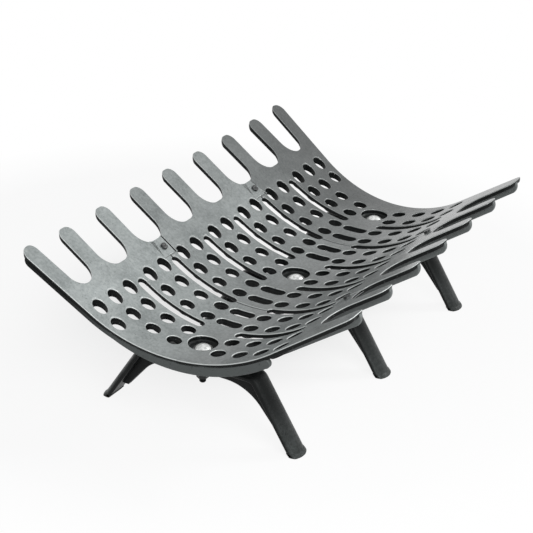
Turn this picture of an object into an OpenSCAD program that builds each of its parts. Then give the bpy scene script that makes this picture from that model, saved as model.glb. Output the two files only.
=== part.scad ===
// Cradle log grate: three perforated cast-iron panels side by side, each bolted to its own
// T-section leg arch, and screwed to each other where their seams lap.
// X runs along the grate, +Y is its wide side, Z is up, and the feet stand on Z = 0.
// The castings are drawn as they leave a sand mould: holes, slots and gaps have upright walls.
// s is the length measured over the top surface from the centre line.

/* [Panels] */
// Distance between neighbouring fingers along the grate
pitch = 72; // [70:1:76]
// Thickness of the plate
plate_t = 5.5; // [5:0.5:6.5]
// Radius of the dished top surface
arc_r = 188; // [180:1:200]
// Angle at which the dished part ends
arc_deg = 34; // [33:0.5:34]
// Slope of the fingers
arm_deg = 35; // [35:0.5:36]
// Depth from the centre line to a fingertip
tip_y = 195; // [188:1:200]
// Height of the lowest point of the top surface
top_z = 104; // [100:1:112]
// Half length of the grate on its centre line
half_len = 265.5; // [262:0.5:270]
// Growth of the half length per millimetre towards the wide side
taper = 0.147; // [0.12:0.001:0.16]

/* [Fingers] */
// Width of a finger
finger_w = 25; // [22:1:28]
// Width of the tapered outer finger on the wide side
outer_finger_w = 23; // [20:0.5:26]
// Depth from the centre line to the bottom of a finger gap
gap_y = 136; // [134:1:138]
// Corner radius at the bottom of a finger gap
gap_corner = 19; // [14:1:20]
// Corner radius of a fingertip
tip_corner = 10; // [6:1:11]
// Depth of the rib under a finger, measured from the top surface
rib_depth = 13; // [10:0.5:13]
// Width of the rib under a finger
rib_w = 6; // [5:0.5:7]

/* [Perforation] */
// Radius of a round hole
hole_r = 8.8; // [7:0.2:9]
// Half distance between the two holes of a pair
hole_x = 15; // [14:0.5:16]
// Surface distance between the rows of holes
row_s = 29.4; // [28:0.2:29.6]
// Place of the single outer column of holes on the wide side
outer_hole_x = 261; // [258:1:262]
// Width of an oblong hole on the centre line
oblong_w = 15; // [12:0.5:16]
// Length of an oblong hole on the centre line
oblong_y = 33; // [28:1:35]
// Width of a slot
slot_w = 13; // [10:0.5:14]
// Depth from the centre line to the near end of a slot
slot_from = 21.5; // [20:0.5:24]
// Depth from the centre line to the far end of a slot
slot_to = 112; // [109:0.5:112]

/* [Seams] */
// Clearance between two panels
seam_gap = 0.8; // [0.4:0.1:1.5]
// Reach of the ledge to the left of the seam
lap_left = 9; // [8:0.5:10]
// Reach of the tab to the right of the seam
lap_right = 11; // [9:0.5:12]
// Surface length from the centre line to a seam screw
screw_s = 136; // [134:1:138]
// Offset of a seam screw from the seam
screw_dx = 1; // [0:0.5:2]

/* [Leg arches] */
// Width of the domed flange
flange_w = 28; // [24:1:32]
// Depth of the domed flange at its crown
flange_t = 10; // [9:0.5:12]
// Rise of the flange's dome above its edges
flange_dome = 5; // [3:0.5:6]
// Thickness of the web
web_t = 8; // [6:0.5:10]
// Drop from the panel's top surface to the top of the arch
arch_drop = 14; // [14:0.5:16]
// Half width of the arch over its feet
foot_y = 134.5; // [130:0.5:138]
// Lean of a leg away from upright
leg_lean = 32.7; // [31:0.1:34]
// Outer radius of the knee
knee_r = 18; // [14:1:22]

/* [Hidden] */
$fn = 72;

LEFT = -1;
MIDDLE = 0;
RIGHT = 1;
WIDE = 1;
NARROW = -1;

iron = [0.36, 0.38, 0.38];
leg_iron = [0.27, 0.28, 0.28];
steel = [0.62, 0.62, 0.6];

reach = 400;                            // longer than any part of the grate
arc_len = arc_r * arc_deg * PI / 180;   // surface length from the centre line to the end of the dish
arc_end_y = arc_r * sin(arc_deg);
fingers_per_panel = 3;
hole_rows = 4;                          // rows of round holes on each side of the centre line
bury = 2;                               // depth at which ribs and skirts start inside the plate
rib_nose_r = 12.5;
rib_nose_s = arc_len + (tip_y - arc_end_y) / cos(arm_deg) - 11;
end_trim = 0.2;                         // width trimmed off the outer fingers along the tapered ends

skirt_w = 6;
skirt_depth = 9.5;
skirt_stop = 210;
skirt_round = arc_r - 9.6;              // radius of the deep skirt's lower edge
skirt_shift = 25.4;                     // offset of that circle's centre from the dish's centre
skirt_lean = -14.5;
skirt_end = -30.5;                      // where the deep skirt ends in a round nose
nose_r = 6.4;
nose_depth = 8.4;

dish_r = 17.5;                          // recess that holds the bolt's head
dish_depth = 7;
boss_r = 22;
bolt_hole_r = 4.5;

screw_hole_r = 2.8;
lap_from = 123.5;
lap_to = 153;
lap_t = plate_t / 2 - 0.1;

arch_top = top_z - arch_drop;
knee_y = foot_y - arch_top * tan(leg_lean); // corner where the arch's top meets a leg
knee_tangent = knee_r * tan((90 - leg_lean) / 2);
dome_r = (flange_w * flange_w / 4 + flange_dome * flange_dome) / (2 * flange_dome);
crown_cut = 0.2;                        // flat left along the crown of the dome
hub_r = 13;
crown_y = 33;                           // half width of the soffit's flat crown
crown_z = top_z - 36;
soffit_r = 60;
soffit_deg = 50;
web_end = 20;                           // height at which the web stops above the floor
toe = 1.5;                              // growth of the foot beyond the leg
toe_h = 3;
toe_depth = 13;

bolt_r = 4;
bolt_end = top_z - 50;
head_r = 11;
head_h = 5;
washer_r = 9;
washer_t = 1.6;
nut_h = 6.5;
nut_r = 7.5;                            // to the corners
screw_r = 2.5;
screw_head_r = 4.5;
screw_head_h = 2.6;
screw_len = 12.5;
seam_nut_h = 4;
seam_nut_r = 4.6;
thread_clearance = 0.05;

function polar(r, angle) = [r * sin(angle), -r * cos(angle)];
function arm_point(side, s, depth) =
  polar(arc_r + depth, side * arc_deg) + (s - arc_len) * [side * cos(arm_deg), sin(arm_deg)];
function surface_y(s) = arc_r * sin(min(s, arc_len) / arc_r * 180 / PI) + max(s - arc_len, 0) * cos(arm_deg);
function panel_x(i) = i * fingers_per_panel * pitch;
function seam_x(i) = panel_x(i) + fingers_per_panel * pitch / 2;
function end_x(y) = half_len + taper * y;

// Extrudes an outline drawn as Y and Z from one place on X to another
module along_x(from, to) {
  translate([from, 0, 0]) rotate([90, 0, 90]) linear_extrude(to - from) children();
}

// Lays its children, drawn as X, s and the normal, on the sloping part of one side
module on_wing(side) {
  mirror([0, side < 0 ? 1 : 0, 0])
    translate([0, arc_end_y, top_z + arc_r * (1 - cos(arc_deg))])
      rotate([arm_deg, 0, 0]) translate([0, -arc_len, 0]) children();
}

// Mirrors a plan drawn for the wide side to the given side
module to_side(side) {
  mirror([0, side < 0 ? 1 : 0]) children();
}

// Outline of a strip of the dish between two depths below the top surface
module arc_strip(upper, lower, from_deg = -arc_deg, to_deg = arc_deg) {
  translate([0, top_z + arc_r]) intersection() {
    difference() {
      circle(r = arc_r + lower, $fn = 240);
      circle(r = arc_r + upper, $fn = 240);
    }
    polygon([[0, 0], polar(2 * arc_r, from_deg), polar(2 * arc_r, to_deg)]);
  }
}

// Outline of a strip under the sloping part of one side
module arm_strip(side, upper, lower, stop) {
  inner = [arm_point(side, arc_len, upper), arm_point(side, arc_len, lower)];
  outer = [arm_point(side, stop, upper), arm_point(side, stop, lower)];
  translate([0, top_z + arc_r])
    polygon(side > 0 ? [inner[1], outer[1], outer[0], inner[0]] : [inner[0], outer[0], outer[1], inner[1]]);
}

// Outline of a strip that follows the whole top surface between two depths
module full_strip(upper, lower, stop) {
  arc_strip(upper, lower);
  for (side = [WIDE, NARROW]) arm_strip(side, upper, lower, stop);
}

// Plan of a straight finger with rounded corners at its tip
module finger_plan(width, length) {
  translate([-width / 2, 0]) square([width, length - tip_corner]);
  translate([tip_corner - width / 2, 0]) square([width - 2 * tip_corner, length]);
  for (side = [-1, 1])
    translate([side * (width / 2 - tip_corner), length - tip_corner]) circle(r = tip_corner);
}

// Plan of the round-bottomed gap between two fingers
module gap_plan(width, corner) {
  for (side = [-1, 1])
    translate([side * (width / 2 - corner), corner]) circle(r = corner);
  translate([corner - width / 2, 0]) square([width - 2 * corner, corner + 1]);
  translate([-width / 2, corner]) square([width, tip_y]);
}

// Plan of the fingers of one side of a panel, up to the tapered end
module fingers_plan(i, side) {
  length = tip_y - gap_y;
  for (k = [3 * i - 1 : 3 * i + 1]) {
    end = sign(k);
    if (abs(k) < 3 || (abs(k) == 3 && side == WIDE))
      translate([k * pitch, gap_y]) finger_plan(finger_w, length);
    if (side == WIDE && abs(k) == 4)
      translate([end * end_x(gap_y), gap_y]) rotate(-end * atan(taper))
        translate([end * (end_trim - outer_finger_w / 2), 0]) finger_plan(outer_finger_w, length / cos(atan(taper)));
    if (side == NARROW && abs(k) == 3) narrow_outer_finger_plan(end, length);
  }
}

// Plan of the broad outer finger on the narrow side, whose outer edge is the tapered end
module narrow_outer_finger_plan(end, length) {
  inner = 3 * pitch - finger_w / 2;
  tip_width = end_x(tip_corner - tip_y) - inner;
  translate([end * (inner + tip_width / 2), gap_y]) finger_plan(tip_width, length);
  polygon([[end * (inner + tip_corner), gap_y], [end * end_x(-gap_y), gap_y],
           [end * (inner + tip_width), tip_y - tip_corner], [end * (inner + tip_corner), tip_y - tip_corner]]);
}

// Plan of every gap between the fingers of one side
module gaps_plan(side) {
  outer_gap_w = end_x(gap_y + gap_corner) - outer_finger_w - pitch * 3 - finger_w / 2;
  for (k = [-3 : 2])
    translate([(k + 0.5) * pitch, gap_y]) gap_plan(pitch - finger_w, gap_corner);
  if (side == WIDE)
    for (end = [-1, 1])
      translate([end * (pitch * 3 + (finger_w + outer_gap_w) / 2), gap_y])
        gap_plan(outer_gap_w, outer_gap_w / 2 - 0.5);
}

// Plan of a slot on one side of the centre line
module slot_plan(x, side) {
  run = slot_to - slot_from - slot_w;
  translate([x - slot_w / 2, side > 0 ? slot_from + slot_w / 2 : -slot_to + slot_w / 2]) square([slot_w, run]);
  for (y = [slot_from, slot_to - slot_w])
    translate([x, side * (y + slot_w / 2)]) circle(r = slot_w / 2);
}

module oblong_plan(x) {
  run = oblong_y - oblong_w;
  for (side = [-1, 1]) translate([x, side * run / 2]) circle(r = oblong_w / 2);
  translate([x - oblong_w / 2, -run / 2]) square([oblong_w, run]);
}

// Plan of every hole and slot of one panel
module perforation_plan(i) {
  for (k = [3 * i - 1 : 3 * i + 1]) if (abs(k) <= 3)
    for (pair = [-1, 1]) {
      x = k * pitch + pair * hole_x;
      for (row = [1 : hole_rows]) for (side = [WIDE, NARROW])
        translate([x, side * surface_y(row * row_s)]) circle(r = hole_r);
      if (k != 3 * i) oblong_plan(x);
    }
  for (k = [3 * i - 1 : 3 * i + 2]) if (abs(k - 0.5) <= 2.5)
    for (side = [WIDE, NARROW]) slot_plan((k - 0.5) * pitch, side);
  if (i != MIDDLE)
    for (row = [hole_rows - 1, hole_rows])
      translate([i * outer_hole_x, surface_y(row * row_s)]) circle(r = hole_r);
}

// Room between the two tapered ends
module ends_plan(inset = 0) {
  far = end_x(reach) - inset;
  near = end_x(-reach) - inset;
  polygon([[-near, -reach], [near, -reach], [far, reach], [-far, reach]]);
}

// Plan of one panel
module panel_plan(i) {
  from = i == LEFT ? -reach : seam_x(i - 1) + seam_gap / 2;
  to = i == RIGHT ? reach : seam_x(i) - seam_gap / 2;
  base_y = gap_y + gap_corner;
  difference() {
    union() {
      difference() {
        translate([from, -base_y]) square([to - from, 2 * base_y]);
        for (side = [WIDE, NARROW]) to_side(side) gaps_plan(side);
      }
      for (side = [WIDE, NARROW]) to_side(side) fingers_plan(i, side);
    }
    perforation_plan(i);
  }
}

// Tab on the right and ledge on the left that lap a panel over its neighbours
module laps(i) {
  width = lap_left + lap_right + 2;
  difference() {
    for (side = [WIDE, NARROW]) on_wing(side) {
      if (i != RIGHT)
        translate([seam_x(i) - lap_left - 2, lap_from, -lap_t]) cube([width, lap_to - lap_from, lap_t]);
      if (i != LEFT)
        translate([seam_x(i - 1) - lap_left, lap_from, -plate_t]) cube([width, lap_to - lap_from, lap_t]);
    }
    linear_extrude(reach) for (side = [WIDE, NARROW]) to_side(side) gaps_plan(side);
  }
}

// Room that a panel leaves for the laps
module lap_room(i) {
  for (side = [WIDE, NARROW]) on_wing(side) {
    if (i != RIGHT)
      translate([seam_x(i) - lap_left - seam_gap, lap_from, -2 * plate_t])
        cube([lap_left + 2 * seam_gap, lap_to - lap_from, 3 * plate_t]);
    if (i != LEFT)
      translate([seam_x(i - 1) - seam_gap, lap_from, -2 * plate_t])
        cube([lap_right + 2 * seam_gap, lap_to - lap_from, 3 * plate_t]);
  }
}

// Skirt along the outer end of a panel: shallow at the outer finger, deep below the dish
module edge_skirt() {
  intersection() {
    along_x(-reach, reach) skirt_outline();
    linear_extrude(reach) difference() {
      ends_plan(-skirt_w);
      ends_plan(skirt_w);
    }
  }
}

module skirt_outline() {
  arm_strip(WIDE, bury, skirt_depth, skirt_stop);
  arc_strip(bury, skirt_depth, 0, arc_deg);
  translate([0, top_z + arc_r]) {
    intersection() {
      difference() {
        translate(polar(skirt_shift, skirt_lean)) circle(r = skirt_round, $fn = 240);
        circle(r = arc_r + bury, $fn = 240);
      }
      polygon([[0, 0], polar(2 * arc_r, skirt_end), polar(2 * arc_r, arc_deg)]);
    }
    translate(polar(arc_r + nose_depth, skirt_end)) circle(r = nose_r);
  }
}

// Side view of a rib that follows the underside from tip to tip and ends in a rounded nose
module rib_outline() {
  difference() {
    full_strip(bury, rib_depth, rib_nose_s + 2 * rib_nose_r);
    for (side = [WIDE, NARROW])
      translate([0, top_z + arc_r]) translate(arm_point(side, rib_nose_s, 1)) rotate(side * arm_deg) difference() {
        translate([side > 0 ? 0 : -3 * rib_nose_r, -2 * rib_nose_r]) square([3 * rib_nose_r, 4 * rib_nose_r]);
        circle(r = rib_nose_r);
      }
  }
}

// Rib under one line of fingers
module finger_rib(k) {
  along_x(k * pitch - rib_w / 2, k * pitch + rib_w / 2) rib_outline();
}

// Bent plate of one panel, with its fingers, holes and slots
module sheet(i) {
  difference() {
    intersection() {
      along_x(-reach, reach) full_strip(0, plate_t, reach - arc_len);
      linear_extrude(reach) panel_plan(i);
    }
    lap_room(i);
  }
}

module panel(i) {
  color(iron) difference() {
    union() {
      if (i == MIDDLE) sheet(i);
      else intersection() {
        union() {
          sheet(i);
          intersection() {
            edge_skirt();
            translate([i > 0 ? 0 : -reach, -reach, 0]) cube([reach, 2 * reach, reach]);
          }
        }
        linear_extrude(reach) ends_plan();
      }
      laps(i);
      for (k = [3 * i - 1 : 3 * i + 1]) if (abs(k) <= 3) finger_rib(k);
      translate([panel_x(i), 0, arch_top]) cylinder(r = boss_r, h = arch_drop - bury);
    }
    translate([panel_x(i), 0, top_z - dish_depth]) cylinder(r = dish_r, h = 2 * dish_depth);
    translate([panel_x(i), 0, arch_top - 1]) cylinder(r = bolt_hole_r, h = arch_drop);
    for (seam = [LEFT, MIDDLE]) for (side = [WIDE, NARROW])
      on_wing(side) translate([seam_x(seam) + screw_dx, screw_s, -2 * plate_t])
        cylinder(r = screw_hole_r, h = 3 * plate_t);
  }
}

// Side view of the flange of a whole arch, from below the floor over both knees
module flange_outline() {
  down = [sin(leg_lean), -cos(leg_lean)];
  inner = [knee_y - flange_t * tan((90 - leg_lean) / 2), arch_top - flange_t];
  inner_foot = inner + 2 * arch_top * down;
  bend = [knee_y - knee_tangent, arch_top - knee_r];
  bend_end = bend + (knee_r - crown_cut) * [cos(leg_lean), sin(leg_lean)];
  foot = bend_end + 1.5 * arch_top * down;
  crown = arch_top - crown_cut;
  difference() {
    union() {
      polygon([[-foot[0], foot[1]], [-bend_end[0], bend_end[1]], [-bend[0], crown],
               [bend[0], crown], bend_end, foot]);
      for (side = [-1, 1]) translate([side * bend[0], bend[1]]) circle(r = knee_r - crown_cut);
    }
    polygon([[-inner_foot[0], inner_foot[1]], [-inner[0], inner[1]], inner, inner_foot]);
  }
}

// Room behind a domed surface whose crown runs along Y through the origin
module dome_room() {
  width = flange_w + 2;
  translate([0, -reach, -dome_r]) {
    rotate([-90, 0, 0]) cylinder(r = dome_r, h = 2 * reach, $fn = 96);
    translate([-width / 2, 0, -reach]) cube([width, 2 * reach, reach]);
  }
}

// Flange of a whole arch, domed along its top and along both legs
module arch_flange() {
  intersection() {
    along_x(-flange_w / 2, flange_w / 2) flange_outline();
    translate([0, 0, arch_top]) dome_room();
    for (side = [WIDE, NARROW]) mirror([0, side < 0 ? 1 : 0, 0])
      translate([0, knee_y, arch_top]) rotate([leg_lean - 90, 0, 0]) dome_room();
  }
}

// Thicker toe that a leg stands on
module toe_block() {
  translate([0, foot_y + toe, 0]) intersection() {
    translate([0, -dome_r, 0]) cylinder(r = dome_r, h = toe_h, $fn = 96);
    translate([-flange_w / 2, -toe_depth, 0]) cube([flange_w, toe_depth + 1, toe_h]);
  }
}

// Outline that the web fills between the soffit and the middle of the flange
module web_outline() {
  shift = flange_t / 2 + 1;
  slant = shift / cos(leg_lean);
  corner_y = knee_y - shift * tan((90 - leg_lean) / 2);
  low_y = foot_y - slant - web_end * tan(leg_lean);
  difference() {
    polygon([[-low_y, web_end], [-corner_y, arch_top - shift], [corner_y, arch_top - shift], [low_y, web_end]]);
    soffit_outline();
  }
}

// Free space under the arch, bounded by the web's soffit
module soffit_outline() {
  spring_y = crown_y + soffit_r * sin(soffit_deg);
  spring_z = crown_z - soffit_r * (1 - cos(soffit_deg));
  low_y = spring_y + (spring_z - web_end) / tan(soffit_deg);
  overlap = 0.5;
  for (side = [-1, 1]) {
    intersection() {
      translate([side * crown_y, crown_z - soffit_r]) circle(r = soffit_r, $fn = 144);
      translate([side > 0 ? crown_y - 1 : -reach, spring_z]) square([reach - crown_y + 1, reach]);
    }
    polygon([[0, spring_z + overlap], [side * (spring_y - overlap / tan(soffit_deg)), spring_z + overlap],
             [side * low_y, web_end], [side * low_y, web_end - 1], [0, web_end - 1]]);
  }
  translate([-crown_y, spring_z]) square([2 * crown_y, crown_z - spring_z]);
}

module leg_arch(i) {
  color(leg_iron) translate([panel_x(i), 0, 0]) difference() {
    intersection() {
      union() {
        arch_flange();
        for (side = [WIDE, NARROW]) mirror([0, side < 0 ? 1 : 0, 0]) toe_block();
        along_x(-web_t / 2, web_t / 2) web_outline();
        translate([0, 0, crown_z]) cylinder(r = hub_r, h = arch_top - crown_z);
      }
      translate([-reach / 2, -reach / 2, 0]) cube(reach);
    }
    translate([0, 0, crown_z - 1]) cylinder(r = bolt_hole_r, h = reach);
  }
}

// Domed bolt through the dish, the panel's boss and the arch
module centre_bolt(i) {
  head_dome_r = (head_r * head_r + head_h * head_h) / (2 * head_h);
  head_z = top_z - dish_depth;
  color(steel) translate([panel_x(i), 0, 0]) {
    intersection() {
      translate([0, 0, head_z + head_h - head_dome_r]) sphere(r = head_dome_r);
      translate([0, 0, head_z]) cylinder(r = head_r, h = head_h);
    }
    translate([0, 0, bolt_end]) cylinder(r = bolt_r, h = head_z - bolt_end + 1);
  }
}

module washer(i) {
  color(steel) translate([panel_x(i), 0, crown_z - washer_t]) difference() {
    cylinder(r = washer_r, h = washer_t);
    translate([0, 0, -1]) cylinder(r = bolt_hole_r, h = washer_t + 2);
  }
}

module hex_nut(corner_r, height, bore_r) {
  difference() {
    cylinder(r = corner_r, h = height, $fn = 6);
    translate([0, 0, -1]) cylinder(r = bore_r, h = height + 2);
  }
}

module bolt_nut(i) {
  color(steel) translate([panel_x(i), 0, crown_z - washer_t - nut_h]) hex_nut(nut_r, nut_h, bolt_r + thread_clearance);
}

// Slotted screw through the tab and the ledge of one seam
module seam_screw(seam, side) {
  driver_slot = 1.2;
  color(steel) on_wing(side) translate([seam_x(seam) + screw_dx, screw_s, 0]) {
    difference() {
      cylinder(r = screw_head_r, h = screw_head_h);
      translate([-screw_head_r, -driver_slot / 2, screw_head_h / 2]) cube([2 * screw_head_r, driver_slot, screw_head_h]);
    }
    translate([0, 0, -screw_len]) cylinder(r = screw_r, h = screw_len);
  }
}

module seam_nut(seam, side) {
  color(steel) on_wing(side) translate([seam_x(seam) + screw_dx, screw_s, -plate_t - seam_nut_h])
    hex_nut(seam_nut_r, seam_nut_h, screw_r + thread_clearance);
}

panel(LEFT);  // panel_left
panel(MIDDLE);  // panel_middle
panel(RIGHT);  // panel_right
leg_arch(LEFT);  // leg_arch_left
leg_arch(MIDDLE);  // leg_arch_middle
leg_arch(RIGHT);  // leg_arch_right
centre_bolt(LEFT);  // bolt_left
centre_bolt(MIDDLE);  // bolt_middle
centre_bolt(RIGHT);  // bolt_right
washer(LEFT);  // washer_left
washer(MIDDLE);  // washer_middle
washer(RIGHT);  // washer_right
bolt_nut(LEFT);  // nut_left
bolt_nut(MIDDLE);  // nut_middle
bolt_nut(RIGHT);  // nut_right
seam_screw(LEFT, WIDE);  // seam_screw_left_wide
seam_screw(LEFT, NARROW);  // seam_screw_left_narrow
seam_screw(MIDDLE, WIDE);  // seam_screw_right_wide
seam_screw(MIDDLE, NARROW);  // seam_screw_right_narrow
seam_nut(LEFT, WIDE);  // seam_nut_left_wide
seam_nut(LEFT, NARROW);  // seam_nut_left_narrow
seam_nut(MIDDLE, WIDE);  // seam_nut_right_wide
seam_nut(MIDDLE, NARROW);  // seam_nut_right_narrow
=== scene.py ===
"""Cradle log grate of cast iron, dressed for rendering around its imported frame.

Lengths are millimetres while a piece is shaped, and a finished piece is in metres.
X runs along the grate, +Y is its wide side and Z is up.
"""

import logging
import math
from dataclasses import dataclass, field, replace
from enum import Enum
from typing import Callable, Iterable, Sequence

import bmesh
import bpy
from mathutils import Matrix, Vector


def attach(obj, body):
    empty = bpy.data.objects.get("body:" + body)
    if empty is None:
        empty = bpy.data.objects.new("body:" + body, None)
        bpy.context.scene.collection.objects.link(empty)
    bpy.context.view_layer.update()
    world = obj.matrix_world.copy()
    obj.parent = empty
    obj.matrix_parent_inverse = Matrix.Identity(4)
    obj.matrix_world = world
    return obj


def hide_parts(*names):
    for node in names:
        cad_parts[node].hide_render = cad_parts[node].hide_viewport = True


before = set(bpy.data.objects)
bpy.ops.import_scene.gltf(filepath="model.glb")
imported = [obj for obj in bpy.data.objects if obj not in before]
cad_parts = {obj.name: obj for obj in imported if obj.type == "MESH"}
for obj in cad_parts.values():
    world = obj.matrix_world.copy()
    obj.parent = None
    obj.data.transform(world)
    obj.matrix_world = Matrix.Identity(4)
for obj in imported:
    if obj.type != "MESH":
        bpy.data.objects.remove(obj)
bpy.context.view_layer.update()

log = logging.getLogger("log_grate")

Point = tuple[float, float]
Loop = list[Point]
Span = tuple[float, float]
Triple = tuple[float, float, float]
Shell = bmesh.types.BMesh
Edge = bmesh.types.BMEdge
Material = bpy.types.Material
Node = bpy.types.Node
Socket = bpy.types.NodeSocket
Feed = Socket | float | Sequence[float]

BODY = "root"
MM = 0.001
PITCH = 72.0  # between the middles of two fingers
PANEL_SPACING = 3 * PITCH
MERGE = 0.001  # points this close become one
SLIVER = 0.0005  # edges and cuts this small are left out
SHARP_DEG = 50.0  # edges that turn further stay sharp
FLAT_WEIGHT = 60  # pull of the large faces on the normals round them
ARC_DEG = 9.0  # largest turn between two points of an arc
LOOP_ARC_DEG = 11.0  # the same on holes and slots
FINE_ARC_DEG = 5.0  # the same on long arcs
HEXAGON = 6
WHITE = (1.0, 1.0, 1.0, 1.0)


class Side(Enum):
    """The two long sides of the grate."""

    WIDE = 1
    NARROW = -1


class Place(Enum):
    """Where a panel and its leg arch stand along the grate."""

    LEFT = -1
    MIDDLE = 0
    RIGHT = 1

    @property
    def word(self) -> str:
        """The place as a node's name spells it."""
        return self.name.lower()


class Axis(Enum):
    """Direction along which a finish changes, named as the shader's axes are."""

    ALONG = "X"
    ACROSS = "Y"
    UP = "Z"


# ---------------------------------------------------------------- outlines and mesh helpers


def swing(first: float, last: float, steps: int) -> list[float]:
    """Evenly spread angles in radians, from first to last in degrees."""
    return [math.radians(first + (last - first) * i / steps) for i in range(steps + 1)]


class Outline:
    """Closed flat path of straight runs and arcs."""

    def __init__(self) -> None:
        """Starts an empty path."""
        self.points: Loop = []

    def to(self, x: float, y: float) -> "Outline":
        """Adds a straight run to a point, and gives the outline back."""
        self.points.append((x, y))
        return self

    def arc(
        self, x: float, y: float, radius: float, start: float, end: float, step: float = ARC_DEG
    ) -> "Outline":
        """Adds an arc, after a straight run to its first point.

        Args:
            x: Centre of the arc.
            y: Centre of the arc.
            radius: Radius of the arc.
            start: First angle in degrees, counted from +X towards +Y.
            end: Last angle in degrees.
            step: Largest turn between two points, in degrees.

        Returns:
            The outline itself.
        """
        for turn in swing(start, end, max(1, math.ceil(abs(end - start) / step))):
            self.points.append((x + radius * math.cos(turn), y + radius * math.sin(turn)))
        return self

    def run(self, points: Iterable[Point]) -> "Outline":
        """Adds the points of another path, and gives the outline back."""
        self.points.extend(points)
        return self


def flipped(path: Sequence[Point]) -> Loop:
    """A path of the wide side as it lies on the narrow side, in the same order."""
    return [(x, -y) for x, y in path]


def circle(x: float, y: float, radius: float, count: int = 32) -> Loop:
    """A round loop of so many points, counter-clockwise."""
    turn = math.tau / count
    return [(x + radius * math.cos(i * turn), y + radius * math.sin(i * turn)) for i in range(count)]


def oblong(x: float, y: float, width: float, length: float) -> Loop:
    """A loop with straight sides along Y and round ends.

    Args:
        x: Centre.
        y: Centre.
        width: Size along X.
        length: Size along Y.

    Returns:
        The loop's points, counter-clockwise.
    """
    radius = width / 2
    reach = length / 2 - radius
    path = Outline().arc(x, y + reach, radius, 0, 180, LOOP_ARC_DEG)
    return path.arc(x, y - reach, radius, 180, 360, LOOP_ARC_DEG).points


def join(parts: Iterable[Shell]) -> Shell:
    """Puts several shells in one mesh.

    Args:
        parts: The shells, which are used up.

    Returns:
        A mesh that holds them all.
    """
    whole = bmesh.new()
    carrier = bpy.data.meshes.new("carrier")
    for part in parts:
        part.to_mesh(carrier)
        whole.from_mesh(carrier)
        part.free()
    bpy.data.meshes.remove(carrier)
    return whole


def closed(shell: Shell) -> Shell:
    """Merges a shell's doubles and turns its faces outwards.

    Args:
        shell: The shell.

    Returns:
        The same shell.
    """
    bmesh.ops.remove_doubles(shell, verts=shell.verts, dist=MERGE)
    bmesh.ops.dissolve_degenerate(shell, edges=shell.edges, dist=SLIVER)
    bmesh.ops.recalc_face_normals(shell, faces=shell.faces)
    return shell


def placed(name: str, data: bpy.types.ID) -> bpy.types.Object:
    """Puts data in the scene.

    Args:
        name: Name of the new object.
        data: Its mesh, curve, lamp or camera.

    Returns:
        The object, at the origin.
    """
    thing = bpy.data.objects.new(name, data)
    bpy.context.scene.collection.objects.link(thing)
    return thing


def cast_plate(loops: Sequence[Loop], thickness: float, rounding: float, steps: int = 3) -> Shell:
    """Pours a flat plate with rounded edges, half above and half below Z = 0.

    Args:
        loops: The outer loop first, then its holes, all counter-clockwise.
        thickness: Size along Z.
        rounding: Radius of every edge.
        steps: Faces across a rounded edge.

    Returns:
        The closed plate.
    """
    curve = bpy.data.curves.new("flat_outline", "CURVE")
    curve.dimensions = "2D"
    curve.fill_mode = "BOTH"
    curve.extrude = thickness / 2 - rounding
    curve.bevel_depth = rounding
    curve.bevel_resolution = steps - 1
    curve.offset = -rounding
    for index, loop in enumerate(loops):
        spline = curve.splines.new("POLY")
        spline.points.add(len(loop) - 1)
        ordered = loop if index == 0 else loop[::-1]
        for point, (x, y) in zip(spline.points, ordered):
            point.co = (x, y, 0, 1)
        spline.use_cyclic_u = True
    holder = placed("flat_outline", curve)
    graph = bpy.context.evaluated_depsgraph_get()
    mesh = bpy.data.meshes.new_from_object(holder.evaluated_get(graph))
    shell = bmesh.new()
    shell.from_mesh(mesh)
    bpy.data.objects.remove(holder)
    bpy.data.curves.remove(curve)
    bpy.data.meshes.remove(mesh)
    return closed(shell)


def lathe(profile: Sequence[Point], steps: int = 48) -> Shell:
    """Turns a profile round the Z axis.

    Args:
        profile: Radius and height of its points; it is closed, or starts and ends on the axis.
        steps: Faces round the axis.

    Returns:
        The closed shell.
    """
    shell = bmesh.new()
    verts = [shell.verts.new((radius, 0, height)) for radius, height in profile]
    edges = [shell.edges.new(pair) for pair in zip(verts, verts[1:])]
    if profile[0][0] > 0:
        edges.append(shell.edges.new((verts[-1], verts[0])))
    bmesh.ops.spin(
        shell, geom=verts + edges, cent=(0, 0, 0), axis=(0, 0, 1), angle=math.tau, steps=steps, use_merge=True
    )
    return closed(shell)


def picked(geometry: Iterable[object], kind: type) -> list:
    """Those members of an operator's result that are of one kind."""
    return [item for item in geometry if isinstance(item, kind)]


def extruded(shell: Shell, edges: Sequence[Edge], step: Vector) -> list[Edge]:
    """Grows faces from edges.

    Args:
        shell: The shell that the edges are in.
        edges: Where the faces start.
        step: How far they go.

    Returns:
        The edges at the faces' far end.
    """
    grown = bmesh.ops.extrude_edge_only(shell, edges=edges)["geom"]
    bmesh.ops.translate(shell, vec=step, verts=picked(grown, bmesh.types.BMVert))
    return picked(grown, Edge)


def moved(shell: Shell, matrix: Matrix) -> Shell:
    """Moves a shell.

    Args:
        shell: The shell.
        matrix: Where its own axes go.

    Returns:
        The same shell.
    """
    bmesh.ops.transform(shell, matrix=matrix, verts=shell.verts)
    if matrix.determinant() < 0:
        bmesh.ops.reverse_faces(shell, faces=shell.faces)
    return shell


def reshaped(shell: Shell, rule: Callable[[Vector], Vector]) -> Shell:
    """Moves every vertex by a rule.

    Args:
        shell: The shell.
        rule: Gives a vertex's new place.

    Returns:
        The same shell.
    """
    for vert in shell.verts:
        vert.co = rule(vert.co)
    return shell


# A plan drawn as Y and Z stands upright, with its thickness along X
UPRIGHT = Matrix(((0, 0, 1, 0), (1, 0, 0, 0), (0, 1, 0, 0), (0, 0, 0, 1)))


def along(x: float = 0.0, y: float = 0.0, z: float = 0.0) -> Matrix:
    """A shift as a matrix."""
    return Matrix.Translation((x, y, z))


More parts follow.
